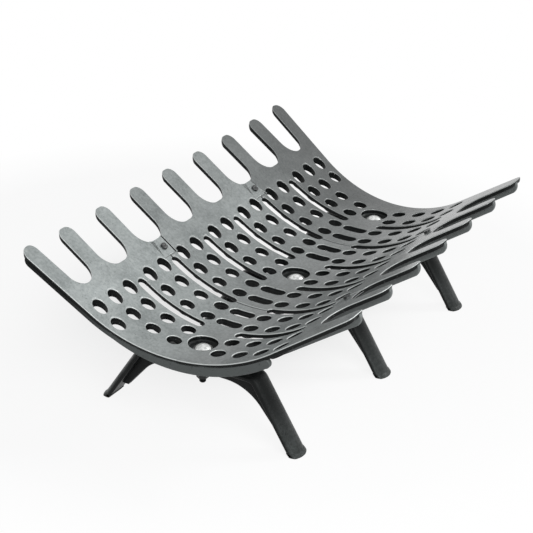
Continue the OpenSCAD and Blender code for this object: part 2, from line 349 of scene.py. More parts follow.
def finish_piece(name: str, node: str, shell: Shell, material: Material) -> None:
    """Makes a shaped shell a piece of the grate.

    Args:
        name: Name of the new piece.
        node: CAD node that it stands for.
        shell: Its mesh in millimetres, which is used up.
        material: Its finish.
    """
    bmesh.ops.scale(shell, vec=(MM, MM, MM), verts=shell.verts)
    mesh = bpy.data.meshes.new(name)
    shell.to_mesh(mesh)
    shell.free()
    mesh.shade_smooth()
    mesh.set_sharp_from_angle(angle=math.radians(SHARP_DEG))
    mesh.materials.append(material)
    piece = placed(name, mesh)
    weighted = piece.modifiers.new("flat_faces_stay_flat", "WEIGHTED_NORMAL")
    weighted.keep_sharp = True
    weighted.weight = FLAT_WEIGHT
    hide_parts(node)
    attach(piece, BODY)
    log.info("%s: %d faces", name, len(mesh.polygons))


# ---------------------------------------------------------------- finishes


class NodeSheet:
    """Short hand for adding and wiring shader nodes."""

    def __init__(self, tree: bpy.types.NodeTree) -> None:
        """Wraps a node tree."""
        self.tree = tree

    def fill(self, node: Node, inputs: dict[str | int, Feed]) -> None:
        """Gives a node's inputs their links and plain values.

        Args:
            node: The node.
            inputs: An output to link, a number or a vector for each input.
        """
        for key, value in inputs.items():
            if isinstance(value, Socket):
                self.tree.links.new(value, node.inputs[key])
            else:
                node.inputs[key].default_value = value

    def add(self, kind: str, inputs: dict[str | int, Feed] | None = None, **settings: object) -> Node:
        """Adds a node.

        Args:
            kind: Its type without the ShaderNode prefix.
            inputs: What its inputs get.
            **settings: Node properties.

        Returns:
            The node.
        """
        node = self.tree.nodes.new("ShaderNode" + kind)
        for key, value in settings.items():
            setattr(node, key, value)
        self.fill(node, inputs or {})
        return node

    def noise(self, place: Socket, scale: Socket | float, detail: float = 3.0, rough: float = 0.55) -> Socket:
        """Adds a noise pattern.

        Args:
            place: Coordinates.
            scale: Waves per metre.
            detail: Octaves.
            rough: Strength of the finer octaves.

        Returns:
            Its value from 0 to 1.
        """
        inputs = {"Vector": place, "Scale": scale, "Detail": detail, "Roughness": rough}
        return self.add("TexNoise", inputs).outputs["Fac"]

    def ramp(self, value: Socket, reach: Span, result: Span = (0.0, 1.0)) -> Socket:
        """Maps a value from one range to another, held at both ends.

        Args:
            value: The value.
            reach: First and last value of its range.
            result: What they become.

        Returns:
            The mapped value.
        """
        inputs = {"Value": value, "From Min": reach[0], "From Max": reach[1]}
        inputs |= {"To Min": result[0], "To Max": result[1]}
        return self.add("MapRange", inputs, clamp=True).outputs["Result"]

    def math(self, operation: str, first: Socket, second: Socket | float) -> Socket:
        """Adds the node that reckons with two values."""
        return self.add("Math", {0: first, 1: second}, operation=operation).outputs[0]

    def mix(self, mask: Socket, first: Socket | Triple, second: Socket | Triple) -> Socket:
        """Mixes two colours by a mask.

        Args:
            mask: Share of the second colour.
            first: Colour at mask 0.
            second: Colour at mask 1.

        Returns:
            The mixed colour.
        """
        first, second = (tone if isinstance(tone, Socket) else (*tone, 1) for tone in (first, second))
        # The colour inputs and output share their names with those for numbers and vectors
        return self.add("Mix", {"Factor": mask, 6: first, 7: second}, data_type="RGBA").outputs[2]


def new_material(name: str) -> tuple[Material, NodeSheet, Node]:
    """Starts a material.

    Args:
        name: Its name.

    Returns:
        The material, a sheet for its nodes, and its surface shader.
    """
    material = bpy.data.materials.new(name)
    material.use_nodes = True
    return material, NodeSheet(material.node_tree), material.node_tree.nodes["Principled BSDF"]


def toned(tone: Triple, share: float) -> Triple:
    """A colour at a share of its strength."""
    return tuple(channel * share for channel in tone)


@dataclass(frozen=True)
class SandCastSkin:
    """Effect that all the castings share: the skin that iron takes from the sand.

    Patterns are in waves per metre, and a reach is the noise value at which each starts and ends.
    """

    clouds: float = 22.0
    cloud_share: float = 0.55
    speckle: float = 260.0
    speckle_share: float = 0.45
    tone_reach: Span = (0.36, 0.64)
    pits: float = 420.0
    pit_reach: Span = (0.34, 0.26)
    pit_depth: float = 0.5
    grain_height: float = 0.4
    swell: float = 70.0
    swell_height: float = 0.9

    def group(self) -> bpy.types.NodeTree:
        """Builds the node group.

        Returns:
            A group that gives a tone mask, a pit mask and the height of the skin.
        """
        group = bpy.data.node_groups.new("sand_cast_skin", "ShaderNodeTree")
        group.interface.new_socket("Vector", in_out="INPUT", socket_type="NodeSocketVector")
        for name in ("Grain per metre", "Pits"):
            group.interface.new_socket(name, in_out="INPUT", socket_type="NodeSocketFloat")
        for name in ("Tone", "Pit mask", "Height"):
            group.interface.new_socket(name, in_out="OUTPUT", socket_type="NodeSocketFloat")
        sheet = NodeSheet(group)
        inlet = group.nodes.new("NodeGroupInput").outputs
        outlet = group.nodes.new("NodeGroupOutput")
        place = inlet["Vector"]

        clouds = sheet.noise(place, self.clouds, detail=4.0, rough=0.6)
        speckle = sheet.noise(place, self.speckle, detail=3.0, rough=0.6)
        tone = sheet.math(
            "ADD",
            sheet.math("MULTIPLY", clouds, self.cloud_share),
            sheet.math("MULTIPLY", speckle, self.speckle_share),
        )

        pits = sheet.ramp(sheet.noise(place, self.pits, detail=1.0, rough=0.5), self.pit_reach)
        pit_mask = sheet.math("MULTIPLY", pits, inlet["Pits"])

        grain = sheet.noise(place, inlet["Grain per metre"], detail=2.5, rough=0.6)
        swell = sheet.noise(place, self.swell, detail=2.0, rough=0.5)
        skin = sheet.math(
            "ADD",
            sheet.math("MULTIPLY", grain, self.grain_height),
            sheet.math("MULTIPLY", swell, self.swell_height),
        )
        height = sheet.math("SUBTRACT", skin, sheet.math("MULTIPLY", pit_mask, self.pit_depth))
        tone_mask = sheet.ramp(tone, self.tone_reach)
        sheet.fill(outlet, {"Tone": tone_mask, "Pit mask": pit_mask, "Height": height})
        return group


@dataclass(frozen=True)
class CastIron:
    """Bare iron as it comes from the sand, lightly oiled.

    A reach is the pair of values at which a change starts and ends: metres for a place on the grate,
    a share for a direction. The walls' tone is painted shade on what doesn't face up, the rim tone a
    painted highlight on the rounded edges, and the darker tones towards one end are painted shade.
    """

    name: str
    dark: Triple
    light: Triple
    walls: Triple
    metallic: float = 0.25
    smooth: float = 0.4
    rough: float = 0.55
    specular: float = 0.15
    grain: float = 900.0
    pits: float = 0.5
    pit_tone: float = 0.45
    relief: float = 0.0006
    sheen: float = 0.0
    coat_rough: float = 0.16
    upward_reach: Span = (0.02, 0.3)
    fade: Span | None = None
    fade_along: Axis = Axis.ACROSS
    faded: Triple = (0.006, 0.007, 0.007)
    rim: Triple | None = None
    rim_reach: Span = (0.97, 0.8)
    dish_reach: Span = (-0.107, 0.107)
    dish_slope: Span = (0.7, -0.7)
    low_shade_share: float = 1.0
    low_shade_reach: Span = (0.05, -0.02)
    low_shade_along: Axis = Axis.ACROSS

    def shaded(self, place: Place, share: float) -> "CastIron":
        """Another casting of the same iron, its tone scaled by a share as painted shade.

        Args:
            place: Where it stands, which ends its name.
            share: Its tone as a share of this one's.

        Returns:
            The finish.
        """
        dark, light, rim = (toned(tone, share) for tone in (self.dark, self.light, self.rim))
        return replace(self, name=f"{self.name}_{place.word}", dark=dark, light=light, rim=rim)

    def rim_mask(self, sheet: NodeSheet, across: Socket, normal: Socket) -> Socket:
        """Adds a mask of the rounded edges, which turn away from the slope of the dish, for their painted
        highlight.

        Args:
            sheet: The material's nodes.
            across: Place across the grate.
            normal: Direction of the surface.

        Returns:
            The mask.
        """
        slope = sheet.add("CombineXYZ", {"Y": sheet.ramp(across, self.dish_reach, self.dish_slope), "Z": 1.0})
        even = sheet.add("VectorMath", {0: slope.outputs[0]}, operation="NORMALIZE")
        turn = sheet.add("VectorMath", {0: even.outputs["Vector"], 1: normal}, operation="DOT_PRODUCT")
        return sheet.ramp(turn.outputs["Value"], self.rim_reach)

    def material(self, skin: bpy.types.NodeTree) -> Material:
        """Builds the material.

        Args:
            skin: The shared sand-cast effect.

        Returns:
            The material.
        """
        material, sheet, shader = new_material(self.name)
        place = sheet.add("TexCoord").outputs["Object"]
        where = sheet.add("SeparateXYZ", {0: place}).outputs
        normal = sheet.add("NewGeometry").outputs["Normal"]
        upward = sheet.ramp(sheet.add("SeparateXYZ", {0: normal}).outputs["Z"], self.upward_reach)
        inputs = {"Vector": place, "Grain per metre": self.grain, "Pits": self.pits}
        effect = sheet.add("Group", inputs, node_tree=skin).outputs

        tone = sheet.mix(effect["Tone"], self.dark, self.light)
        # Painted shade: the tone darkens to a share of itself towards one end.
        if self.low_shade_share < 1:
            dark, light = toned(self.dark, self.low_shade_share), toned(self.light, self.low_shade_share)
            lower = sheet.mix(effect["Tone"], dark, light)
            tone = sheet.mix(sheet.ramp(where[self.low_shade_along.value], self.low_shade_reach), tone, lower)
        # Painted highlight: the rounded edges take the paler rim tone.
        if self.rim:
            tone = sheet.mix(self.rim_mask(sheet, where["Y"], normal), tone, self.rim)
        # Painted shade: what doesn't face up takes the walls tone.
        tone = sheet.mix(upward, self.walls, tone)
        # Painted shade: towards one end the tone goes over to near-black.
        if self.fade:
            tone = sheet.mix(sheet.ramp(where[self.fade_along.value], self.fade), tone, self.faded)
        tone = sheet.mix(effect["Pit mask"], tone, toned(self.dark, self.pit_tone))

        bump = sheet.add("Bump", {"Distance": self.relief, "Height": effect["Height"]})
        sheet.fill(shader, {
            "Base Color": tone,
            "Metallic": self.metallic,
            "Roughness": sheet.ramp(effect["Tone"], (0.0, 1.0), (self.rough, self.smooth)),
            "Specular IOR Level": self.specular,
            "Coat Roughness": self.coat_rough,
            "Normal": bump.outputs["Normal"],
        })
        if self.sheen:
            sheet.fill(shader, {"Coat Weight": sheet.math("MULTIPLY", upward, self.sheen)})
        return material


@dataclass(frozen=True)
class TurnedSteel:
    """Plain steel of the bolts, screws, nuts and washers, with painted shade below a line.

    Patterns are in waves per metre, and the line is in metres over the floor.
    """

    name: str = "fastener_steel"
    dark: Triple = (0.42, 0.43, 0.42)
    light: Triple = (0.8, 0.81, 0.8)
    metallic: float = 1.0
    soot: Triple = (0.02, 0.021, 0.021)
    soot_line: Span = (0.075, 0.095)
    stains: float = 300.0
    stain_reach: Span = (0.38, 0.62)
    smooth: float = 0.3
    rough: float = 0.48
    grain: float = 2200.0
    relief: float = 0.0001

    def material(self) -> Material:
        """Builds the material.

        Returns:
            The material.
        """
        material, sheet, shader = new_material(self.name)
        place = sheet.add("TexCoord").outputs["Object"]
        dull = sheet.ramp(sheet.noise(place, self.stains, detail=4.0, rough=0.6), self.stain_reach)
        # Painted shade: below the line the steel takes the dark shade tone.
        unshaded = sheet.ramp(sheet.add("SeparateXYZ", {0: place}).outputs["Z"], self.soot_line)
        grain = sheet.noise(place, self.grain, detail=2.0)
        bump = sheet.add("Bump", {"Distance": self.relief, "Height": grain})
        sheet.fill(shader, {
            "Base Color": sheet.mix(unshaded, self.soot, sheet.mix(dull, self.light, self.dark)),
            "Metallic": self.metallic,
            "Roughness": sheet.ramp(dull, (0.0, 1.0), (self.smooth, self.rough)),
            "Normal": bump.outputs["Normal"],
        })
        return material


# Panel iron: the near-black walls tone and the darker low tone are painted shade, the pale rim tone is a
# painted highlight.
PANEL_IRON = CastIron(
    "panel_iron", dark=(0.2, 0.222, 0.219), light=(0.35, 0.378, 0.373), walls=(0.007, 0.008, 0.008),
    smooth=0.34, rough=0.5, sheen=0.7, rim=(0.62, 0.65, 0.64), low_shade_share=0.6,
)
# Painted shade: the middle panel and, more so, the right panel are darker copies; the right one darkens
# further towards its end.
PANEL_IRONS = {
    Place.LEFT: PANEL_IRON.shaded(Place.LEFT, 1.0),
    Place.MIDDLE: PANEL_IRON.shaded(Place.MIDDLE, 0.8),
    Place.RIGHT: replace(
        PANEL_IRON.shaded(Place.RIGHT, 0.5), low_shade_share=0.5, low_shade_along=Axis.ALONG, low_shade_reach=(0.12, 0.26)
    ),
}
# Ribs: a darker copy of the iron as painted shade under the plate, near-black as painted shade except at the
# narrow-side ends.
RIB_IRON = CastIron(
    "rib_iron", dark=(0.11, 0.12, 0.118), light=(0.19, 0.205, 0.202), walls=(0.12, 0.13, 0.128),
    smooth=0.38, rough=0.52, fade=(-0.12, -0.08),
)
# Skirt: a darker copy of the iron as painted shade, going near-black as painted shade towards the wide tip.
SKIRT_IRON = CastIron(
    "skirt_iron", dark=(0.07, 0.077, 0.076), light=(0.13, 0.14, 0.138), walls=(0.085, 0.093, 0.092),
    fade=(0.07, 0.14),
)
# Painted shade: the bolt recess and its boss are near-black, the shade inside the recess.
RECESS_SHADE_IRON = CastIron(
    "boss_iron", dark=(0.008, 0.009, 0.009), light=(0.03, 0.033, 0.032), walls=(0.007, 0.008, 0.008)
)
# Legs: a darker copy of the iron as painted shade under the grate, going near-black as painted shade from 1
# cm to 6 cm up.
LEG_IRON = CastIron(
    "leg_iron", dark=(0.022, 0.025, 0.024), light=(0.06, 0.066, 0.065), walls=(0.009, 0.01, 0.01),
    metallic=0.3, smooth=0.32, rough=0.48, fade=(0.01, 0.06), fade_along=Axis.UP,
)
# The bolt's shank below the line takes painted shade.
BRIGHT_STEEL = TurnedSteel()
# Dark steel for the seam screws and nuts; the centre washers and nuts sit below the line and take its painted
# shade.
DARK_STEEL_AND_SHADE = TurnedSteel("sooty_steel", dark=(0.03, 0.032, 0.032), light=(0.08, 0.083, 0.083), metallic=0.6)


# ---------------------------------------------------------------- panels


@dataclass(frozen=True)
class Dish:
    """Bent form of the panels: a dished middle and a straight slope on each side."""

    radius: float = 188.0
    arc_deg: float = 34.0
    arm_deg: float = 35.0
    top: float = 104.0
    thickness: float = 5.5
    cuts: int = 58
    cut_margin: float = 5.0

    @property
    def centre_z(self) -> float:
        """Height of the centre of the dish's arc."""
        return self.top + self.radius

    @property
    def arc_len(self) -> float:
        """Surface length from the centre line to the end of the dish."""
        return self.radius * math.radians(self.arc_deg)

    @property
    def arc_end(self) -> float:
        """Plan distance from the centre line to the end of the dish."""
        return self.radius * math.sin(math.radians(self.arc_deg))

    def plan(self, s: float) -> float:
        """Plan distance from the centre line of a place on the top surface."""
        bent = self.radius * math.sin(min(s, self.arc_len) / self.radius)
        return bent + max(s - self.arc_len, 0) * math.cos(math.radians(self.arm_deg))

    def height(self, y: float, depth: float) -> float:
        """Height over the floor of a surface that runs below the top surface.

        Args:
            y: Plan distance from the centre line, on either side.
            depth: Distance below the top surface.

        Returns:
            The height.
        """
        arc = math.radians(self.arc_deg)
        radius = self.radius + depth
        end = radius * math.sin(arc)
        if abs(y) <= end:
            return self.centre_z - math.sqrt(radius * radius - y * y)
        slope = math.tan(math.radians(self.arm_deg))
        return self.centre_z - radius * math.cos(arc) + (abs(y) - end) * slope

    def arc_point(self, turn: float, depth: float) -> Point:
        """Y and Z of a place in the dish, by its angle from the centre line in radians and depth."""
        radius = self.radius + depth
        return radius * math.sin(turn), self.centre_z - radius * math.cos(turn)

    def arm_point(self, s: float, depth: float) -> Point:
        """Place on the straight slope of the wide side.

        Args:
            s: Surface length from the centre line.
            depth: Distance below the top surface.

        Returns:
            Its Y and Z.
        """
        y, z = self.arc_point(math.radians(self.arc_deg), depth)
        arm = math.radians(self.arm_deg)
        run = s - self.arc_len
        return y + run * math.cos(arm), z + run * math.sin(arm)

    def bend(self, shell: Shell, upper: float, lower: float) -> Shell:
        """Drapes a flat plate over the dish, with its hole walls left upright.

        Args:
            shell: The plate, with its plan in X and Y.
            upper: Depth of its top face.
            lower: Depth of its underside.

        Returns:
            The same shell, bent.
        """
        heights = [vert.co.z for vert in shell.verts]
        high, low = max(heights), min(heights)
        limit = self.arc_end + self.cut_margin
        for i in range(self.cuts + 1):
            bmesh.ops.bisect_plane(
                shell,
                geom=shell.verts[:] + shell.edges[:] + shell.faces[:],
                dist=SLIVER,
                plane_co=(0, -limit + 2 * limit * i / self.cuts, 0),
                plane_no=(0, 1, 0),
            )

        def drape(co: Vector) -> Vector:
            """Puts a point between the two depths, by its height in the flat plate.

            Args:
                co: The point in the flat plate.

            Returns:
                The point in the bent plate.
            """
            share = (high - co.z) / (high - low)
            over, under = self.height(co.y, upper), self.height(co.y, lower)
            return Vector((co.x, co.y, over + (under - over) * share))

        return reshaped(shell, drape)


@dataclass
class Skirt:
    """Skirt along a panel's tapered end, shallow at the outer finger and deep below the dish.

    Its deep edge is an arc of its own, and its end on the narrow side is a round nose. Angles are in
    degrees from the centre line of the dish.
    """

    way: int
    dish: Dish
    half_len: float
    taper: float
    bury: float
    width: float = 6.0
    depth: float = 9.5
    rounding: float = 1.2
    stop: float = 213.0
    taper_from: float = 204.0
    deep_inset: float = 9.6
    deep_shift: float = 25.4
    deep_lean: float = -14.5
    ledge: float = 2.0
    nose_end: float = -30.5
    nose_r: float = 6.4
    nose_depth: float = 8.4

    def _polar(self, radius: float, turn: float) -> Vector:
        """Place from the centre of the dish, by radius and an angle in radians."""
        return Vector((radius * math.sin(turn), -radius * math.cos(turn)))

    def _lower(self) -> Loop:
        """Round nose and lower edge, out to the end of the dish.

        Returns:
            The path, from the top of the nose.
        """
        dish = self.dish
        deep_r = dish.radius - self.deep_inset
        deep_centre = self._polar(self.deep_shift, math.radians(self.deep_lean))
        nose = self._polar(dish.radius + self.nose_depth, math.radians(self.nose_end))
        edge: Loop = []
        for turn in swing(self.nose_end, dish.arc_deg, steps=60):
            way = self._polar(1, turn)
            level = way.dot(deep_centre)
            deep = level + math.sqrt(level**2 - deep_centre.length_squared + deep_r**2)
            shallow = dish.radius + (self.depth if turn >= 0 else self.bury + self.ledge)
            point = way * max(deep, shallow)
            if (point - nose).length > self.nose_r:
                edge.append((point.x, dish.centre_z + point.y))
        entry = Vector((edge[0][0], edge[0][1] - dish.centre_z)) - nose
        last = math.degrees(math.atan2(entry.y, entry.x)) % 360
        path = Outline().arc(nose.x, dish.centre_z + nose.y, self.nose_r, 90 + self.nose_end, last)
        return path.run(edge).points

    def _upper(self) -> Loop:
        """Edge inside the plate, back to the nose.

        Returns:
            The path, from the end of the dish.
        """
        radius = self.dish.radius + self.bury
        points = [self._polar(radius, turn) for turn in swing(self.dish.arc_deg, self.nose_end, steps=32)]
        return [(point.x, self.dish.centre_z + point.y) for point in points]

    def _tip(self) -> Loop:
        """Rounded end of the skirt under the outer finger.

        Returns:
            The path, from the lower edge to the upper one.
        """
        reach, rise = self.stop - self.taper_from, self.depth - self.bury
        return [
            self.dish.arm_point(self.taper_from + reach * math.sin(turn), self.bury + rise * math.cos(turn))
            for turn in swing(0, 90, steps=8)
        ]

    def shell(self) -> Shell:
        """Makes the skirt.

        Returns:
            Its mesh, standing along the tapered end.
        """
        flat = cast_plate([self._lower() + self._tip() + self._upper()], self.width, self.rounding)
        outer = self.half_len - self.width / 2

        def lean_out(co: Vector) -> Vector:
            """Stands a point up on the tapered end."""
            return Vector((self.way * (co.z + outer + self.taper * co.x), co.x, co.y))

        return closed(reshaped(flat, lean_out))


@dataclass
class Panel:
    """One perforated panel with its fingers, ribs, skirt, bolt recess and seam laps.

    An s is a length along the top surface from the centre line, and a y its distance in plan.
    Columns are counted in finger pitches from the middle of the grate.
    """

    place: Place
    dish: Dish = field(default_factory=Dish)
    pitch: float = PITCH
    spacing: float = PANEL_SPACING
    per_panel: int = 3
    edge_round: float = 1.1
    tip_y: float = 195.0
    tip_corner: float = 10.0
    half_len: float = 265.5
    taper: float = 0.147
    finger_w: float = 25.0
    outer_finger_w: float = 23.0
    gap_y: float = 136.0
    gap_corner: float = 19.0
    outer_gap_level: float = 0.5
    rib_depth: float = 13.0
    rib_w: float = 6.0
    rib_round: float = 1.2
    bury: float = 2.0
    nose_back: float = 13.0
    nose_r: float = 12.5
    nose_depth: float = 1.0
    hole_r: float = 8.8
    hole_x: float = 15.0
    row_s: float = 29.4
    rows: int = 4
    outer_hole_x: float = 261.0
    outer_rows: tuple[int, int] = (3, 4)
    oblong_w: float = 15.0
    oblong_len: float = 33.0
    slot_w: float = 13.0
    slot_from: float = 21.5
    slot_to: float = 112.0
    slot_lead: float = 1.0
    collar_w: float = 2.5
    collar_h: float = 3.0
    collar_sunk: float = 1.6
    collar_slack: float = 0.02
    seam_gap: float = 2.0
    lap_left: float = 9.0
    lap_right: float = 10.5
    lap_gap: float = 2.8
    lap_grip: float = 1.5
    lap_from: float = 123.5
    lap_clear: float = 0.1
    lap_proud: float = 0.2
    dish_r: float = 17.5
    boss_r: float = 22.0
    boss_bottom: float = 90.0
    bed_rise: float = 3.0
    bed_clear: float = 3.0
    bed_edge: float = 2.5
    bed_drop: float = 0.3
    recess_floor: float = 97.0
    bolt_hole_r: float = 4.5

    @property
    def index(self) -> int:
        """-1, 0 or 1 along the grate."""
        return self.place.value

    @property
    def centre_x(self) -> float:
        """Place of the panel's own middle."""
        return self.index * self.spacing

    @property
    def centre_column(self) -> int:
        """Number of the column over the leg arch."""
        return self.per_panel * self.index

    @property
    def columns(self) -> list[int]:
        """Numbers of the columns that this panel carries: all but the leaning outer finger."""
        middle = self.centre_column
        return [k for k in range(middle - 1, middle + 2) if abs(k) <= self.per_panel]

    @property
    def lap_y(self) -> float:
        """Plan distance of the laps' inner edge."""
        return self.dish.plan(self.lap_from)

    @property
    def gap_level(self) -> float:
        """Half of the level stretch at the bottom of a gap."""
        return (self.pitch - self.finger_w) / 2 - self.gap_corner

    def end_x(self, y: float) -> float:
        """Half length of the grate at a plan depth."""
        return self.half_len + self.taper * y

    def seam_x(self, seam: int) -> float:
        """Place of a seam: 0 is the one on the left of the middle panel, 1 the one on its right."""
        return (seam - 0.5) * self.spacing

    # Plan: every path below runs from left to right on the wide side

    def _quarter(self, x: float, way: int) -> Loop:
        """Quarter circle at one side of the bottom of a gap.

        Args:
            x: Middle of the gap.
            way: -1 for its left side, 1 for its right side.

        Returns:
            The path.
        """
        start = -180 if way < 0 else -90
        y = self.gap_y + self.gap_corner
        return Outline().arc(x + way * self.gap_level, y, self.gap_corner, start, start + 90).points

    def _gap(self, x: float) -> Loop:
        """Round bottom of the gap centred on x."""
        return self._quarter(x, -1) + self._quarter(x, 1)

    def _tip(self, x: float) -> Loop:
        """Rounded tip of the straight finger centred on x.

        Args:
            x: Middle of the finger.

        Returns:
            The path.
        """
        half = self.finger_w / 2 - self.tip_corner
        y = self.tip_y - self.tip_corner
        path = Outline().arc(x - half, y, self.tip_corner, 180, 90)
        return path.arc(x + half, y, self.tip_corner, 90, 0).points

    def _notch(self, seam: float, width: float, way: int) -> Loop:
        """Corner that a panel leaves free for a lap, from the seam towards its own fingers.

        Its side is upright with way 1. With way -1 it slants, because the gap's quarter circle stays
        whole, and it slants on the right panel too, which mirrors a path of way -1.

        Args:
            seam: Place of the seam.
            width: Reach of the corner from the seam, at its inner edge.
            way: 1 where the panel lies on the right of the seam, -1 on its left.

        Returns:
            The path.
        """
        corner = [(seam + way * self.seam_gap / 2, self.lap_y), (seam + way * width, self.lap_y)]
        quarter = self._quarter(seam, way)
        if way < 0:
            return quarter + corner[::-1]
        lean = math.degrees(math.asin((width - self.gap_level) / self.gap_corner))
        kept = math.ceil((90 - lean) / ARC_DEG) + 1
        return corner + quarter[-kept:]

    def _seam_side(self, seam: float, way: int) -> Loop:
        """Straight edge at a seam with half of each slot, from the narrow to the wide side.

        Args:
            seam: Place of the seam.
            way: 1 where the panel lies on the right of the seam, -1 on its left.

        Returns:
            The path.
        """
        edge = seam + way * self.seam_gap / 2
        radius = self.slot_w / 2
        lean = math.degrees(math.asin(self.seam_gap / 2 / radius))
        ends = ((-90 + lean, 0), (0, 90 - lean)) if way > 0 else ((-90 - lean, -180), (180, 90 + lean))
        path = Outline()
        for low in (-self.slot_to, self.slot_from):
            high = low + self.slot_to - self.slot_from
            path.to(edge, low - self.slot_lead)
            for y, (start, end) in zip((low + radius, high - radius), ends):
                path.arc(seam, y, radius, start, end, LOOP_ARC_DEG)
            path.to(edge, high + self.slot_lead)
        return path.points

    def _wide_end(self) -> Loop:
        """Tapered end of the left panel on the wide side, with its outer finger and gap.

        Returns:
            The path.
        """
        slant = math.atan(self.taper)
        turn = math.degrees(slant)
        way = Vector((-math.sin(slant), math.cos(slant)))
        across = Vector((math.cos(slant), math.sin(slant)))
        root = Vector((-self.end_x(self.gap_y), self.gap_y))
        tip = root + way * (self.tip_y - self.gap_y) / math.cos(slant)
        corner = self.tip_corner
        outer = tip - way * corner + across * corner
        inner = tip - way * corner + across * (self.outer_finger_w - corner)
        path = Outline().to(-self.end_x(0), 0).to(-self.end_x(self.dish.arc_end), self.dish.arc_end)
        path.arc(outer.x, outer.y, corner, 180 + turn, 90 + turn)
        path.arc(inner.x, inner.y, corner, 90 + turn, turn)

        gap_end = self.end_x(self.gap_y + self.gap_corner) - self.outer_finger_w
        gap = gap_end - self.spacing - self.finger_w / 2
        radius = gap / 2 - self.outer_gap_level
        middle = -self.spacing - (self.finger_w + gap) / 2
        centre = Vector((middle - self.outer_gap_level, self.gap_y + radius))
        foot = root + across * self.outer_finger_w
        reach = (centre - foot).dot(across)
        lean = math.degrees(math.acos(reach / radius))
        path.arc(centre.x, centre.y, radius, 180 + turn + lean, 270)
        return path.arc(middle + self.outer_gap_level, centre.y, radius, -90, 0).points

    def _narrow_end(self) -> Loop:
        """Tapered end of the left panel on the narrow side, with the finger that it widens.

        Returns:
            The path, drawn as if on the wide side.
        """
        corner = self.tip_corner
        inner = -self.spacing + self.finger_w / 2
        outer = -self.end_x(corner - self.tip_y)
        y = self.tip_y - corner
        path = Outline().to(-self.end_x(0), 0).to(-self.end_x(-self.gap_y), self.gap_y)
        return path.arc(outer + corner, y, corner, 180, 90).arc(inner - corner, y, corner, 90, 0).points

    def _finger_row(self, side: Side) -> Loop:
        """Edge of the middle or left panel along one side; the right panel mirrors the left one.

        Args:
            side: The side.

        Returns:
            The path, drawn as if on the wide side.
        """
        left_room, right_room = self.lap_left + self.seam_gap, self.lap_right + self.lap_gap
        path = Outline()
        if self.place is Place.MIDDLE:
            path.run(self._notch(self.seam_x(0), right_room, 1))
            for k in self.columns:
                path.run(self._tip(k * self.pitch))
                if k < self.columns[-1]:
                    path.run(self._gap((k + 0.5) * self.pitch))
            return path.run(self._notch(self.seam_x(1), left_room, -1)).points
        if side is Side.WIDE:
            path.run(self._wide_end()).run(self._tip(-self.spacing))
        else:
            path.run(self._narrow_end())
        path.run(self._gap(-self.spacing + self.pitch / 2)).run(self._tip(-self.spacing + self.pitch))
        width = left_room if self.place is Place.LEFT else right_room
        return path.run(self._notch(self.seam_x(0), width, -1)).points

    def outline(self) -> Loop:
        """Outer loop of the panel's plan.

        Returns:
            The loop, counter-clockwise.
        """
        wide, narrow = self._finger_row(Side.WIDE), flipped(self._finger_row(Side.NARROW))
        if self.place is Place.MIDDLE:
            left, right = self._seam_side(self.seam_x(0), 1), self._seam_side(self.seam_x(1), -1)
            return narrow + right + wide[::-1] + left[::-1]
        loop = narrow[1:] + self._seam_side(self.seam_x(0), -1) + wide[::-1]
        return loop if self.place is Place.LEFT else [(-x, y) for x, y in reversed(loop)]

    def round_holes(self) -> list[Point]:
        """Places the round holes: four rows on each side, in pairs over each column.

        Returns:
            Their centres.
        """
        centres = [
            (k * self.pitch + pair * self.hole_x, side.value * self.dish.plan(row * self.row_s))
            for k in self.columns for pair in (-1, 1) for row in range(1, self.rows + 1) for side in Side
        ]
        if self.index:
            x = self.index * self.outer_hole_x
            centres += [(x, self.dish.plan(row * self.row_s)) for row in self.outer_rows]
        return centres

    def oblong_holes(self) -> list[float]:
        """Places along X of the oblong holes on the centre line."""
        columns = [k for k in self.columns if k != self.centre_column]
        return [k * self.pitch + pair * self.hole_x for k in columns for pair in (-1, 1)]

    def holes(self) -> list[Loop]:
        """Draws the recess, the round and oblong holes and the slots inside the panel.

        Returns:
            Their loops.
        """
        loops = [circle(self.centre_x, 0, self.dish_r, count=48)]
        loops += [circle(x, y, self.hole_r) for x, y in self.round_holes()]
        loops += [oblong(x, 0, self.oblong_w, self.oblong_len) for x in self.oblong_holes()]
        middle, length = (self.slot_from + self.slot_to) / 2, self.slot_to - self.slot_from
        columns = {Place.LEFT: (-2.5,), Place.MIDDLE: (-0.5, 0.5), Place.RIGHT: (2.5,)}[self.place]
        for k in columns:
            loops += [oblong(k * self.pitch, side.value * middle, self.slot_w, length) for side in Side]
        return loops

    # Shells

    def sheet(self) -> Shell:
        """The bent plate itself."""
        flat = cast_plate([self.outline()] + self.holes(), self.dish.thickness, self.edge_round)
        return self.dish.bend(flat, 0, self.dish.thickness)

    def collars(self) -> Shell:
        """Makes the collars under the plate, round its round and oblong holes.

        Returns:
            All of them in one mesh.
        """
        wall, slack = self.collar_w, self.collar_slack
        rings = [[circle(x, y, self.hole_r + more) for more in (wall, slack)] for x, y in self.round_holes()]
        for x in self.oblong_holes():
            rings.append([
                oblong(x, 0, self.oblong_w + 2 * more, self.oblong_len + 2 * more) for more in (wall, slack)
            ])
        height = self.collar_h + self.collar_sunk
        flat = join(cast_plate(ring, height, rounding=0.5, steps=2) for ring in rings)
        under = self.dish.thickness
        return self.dish.bend(flat, under - self.collar_sunk, under + self.collar_h)

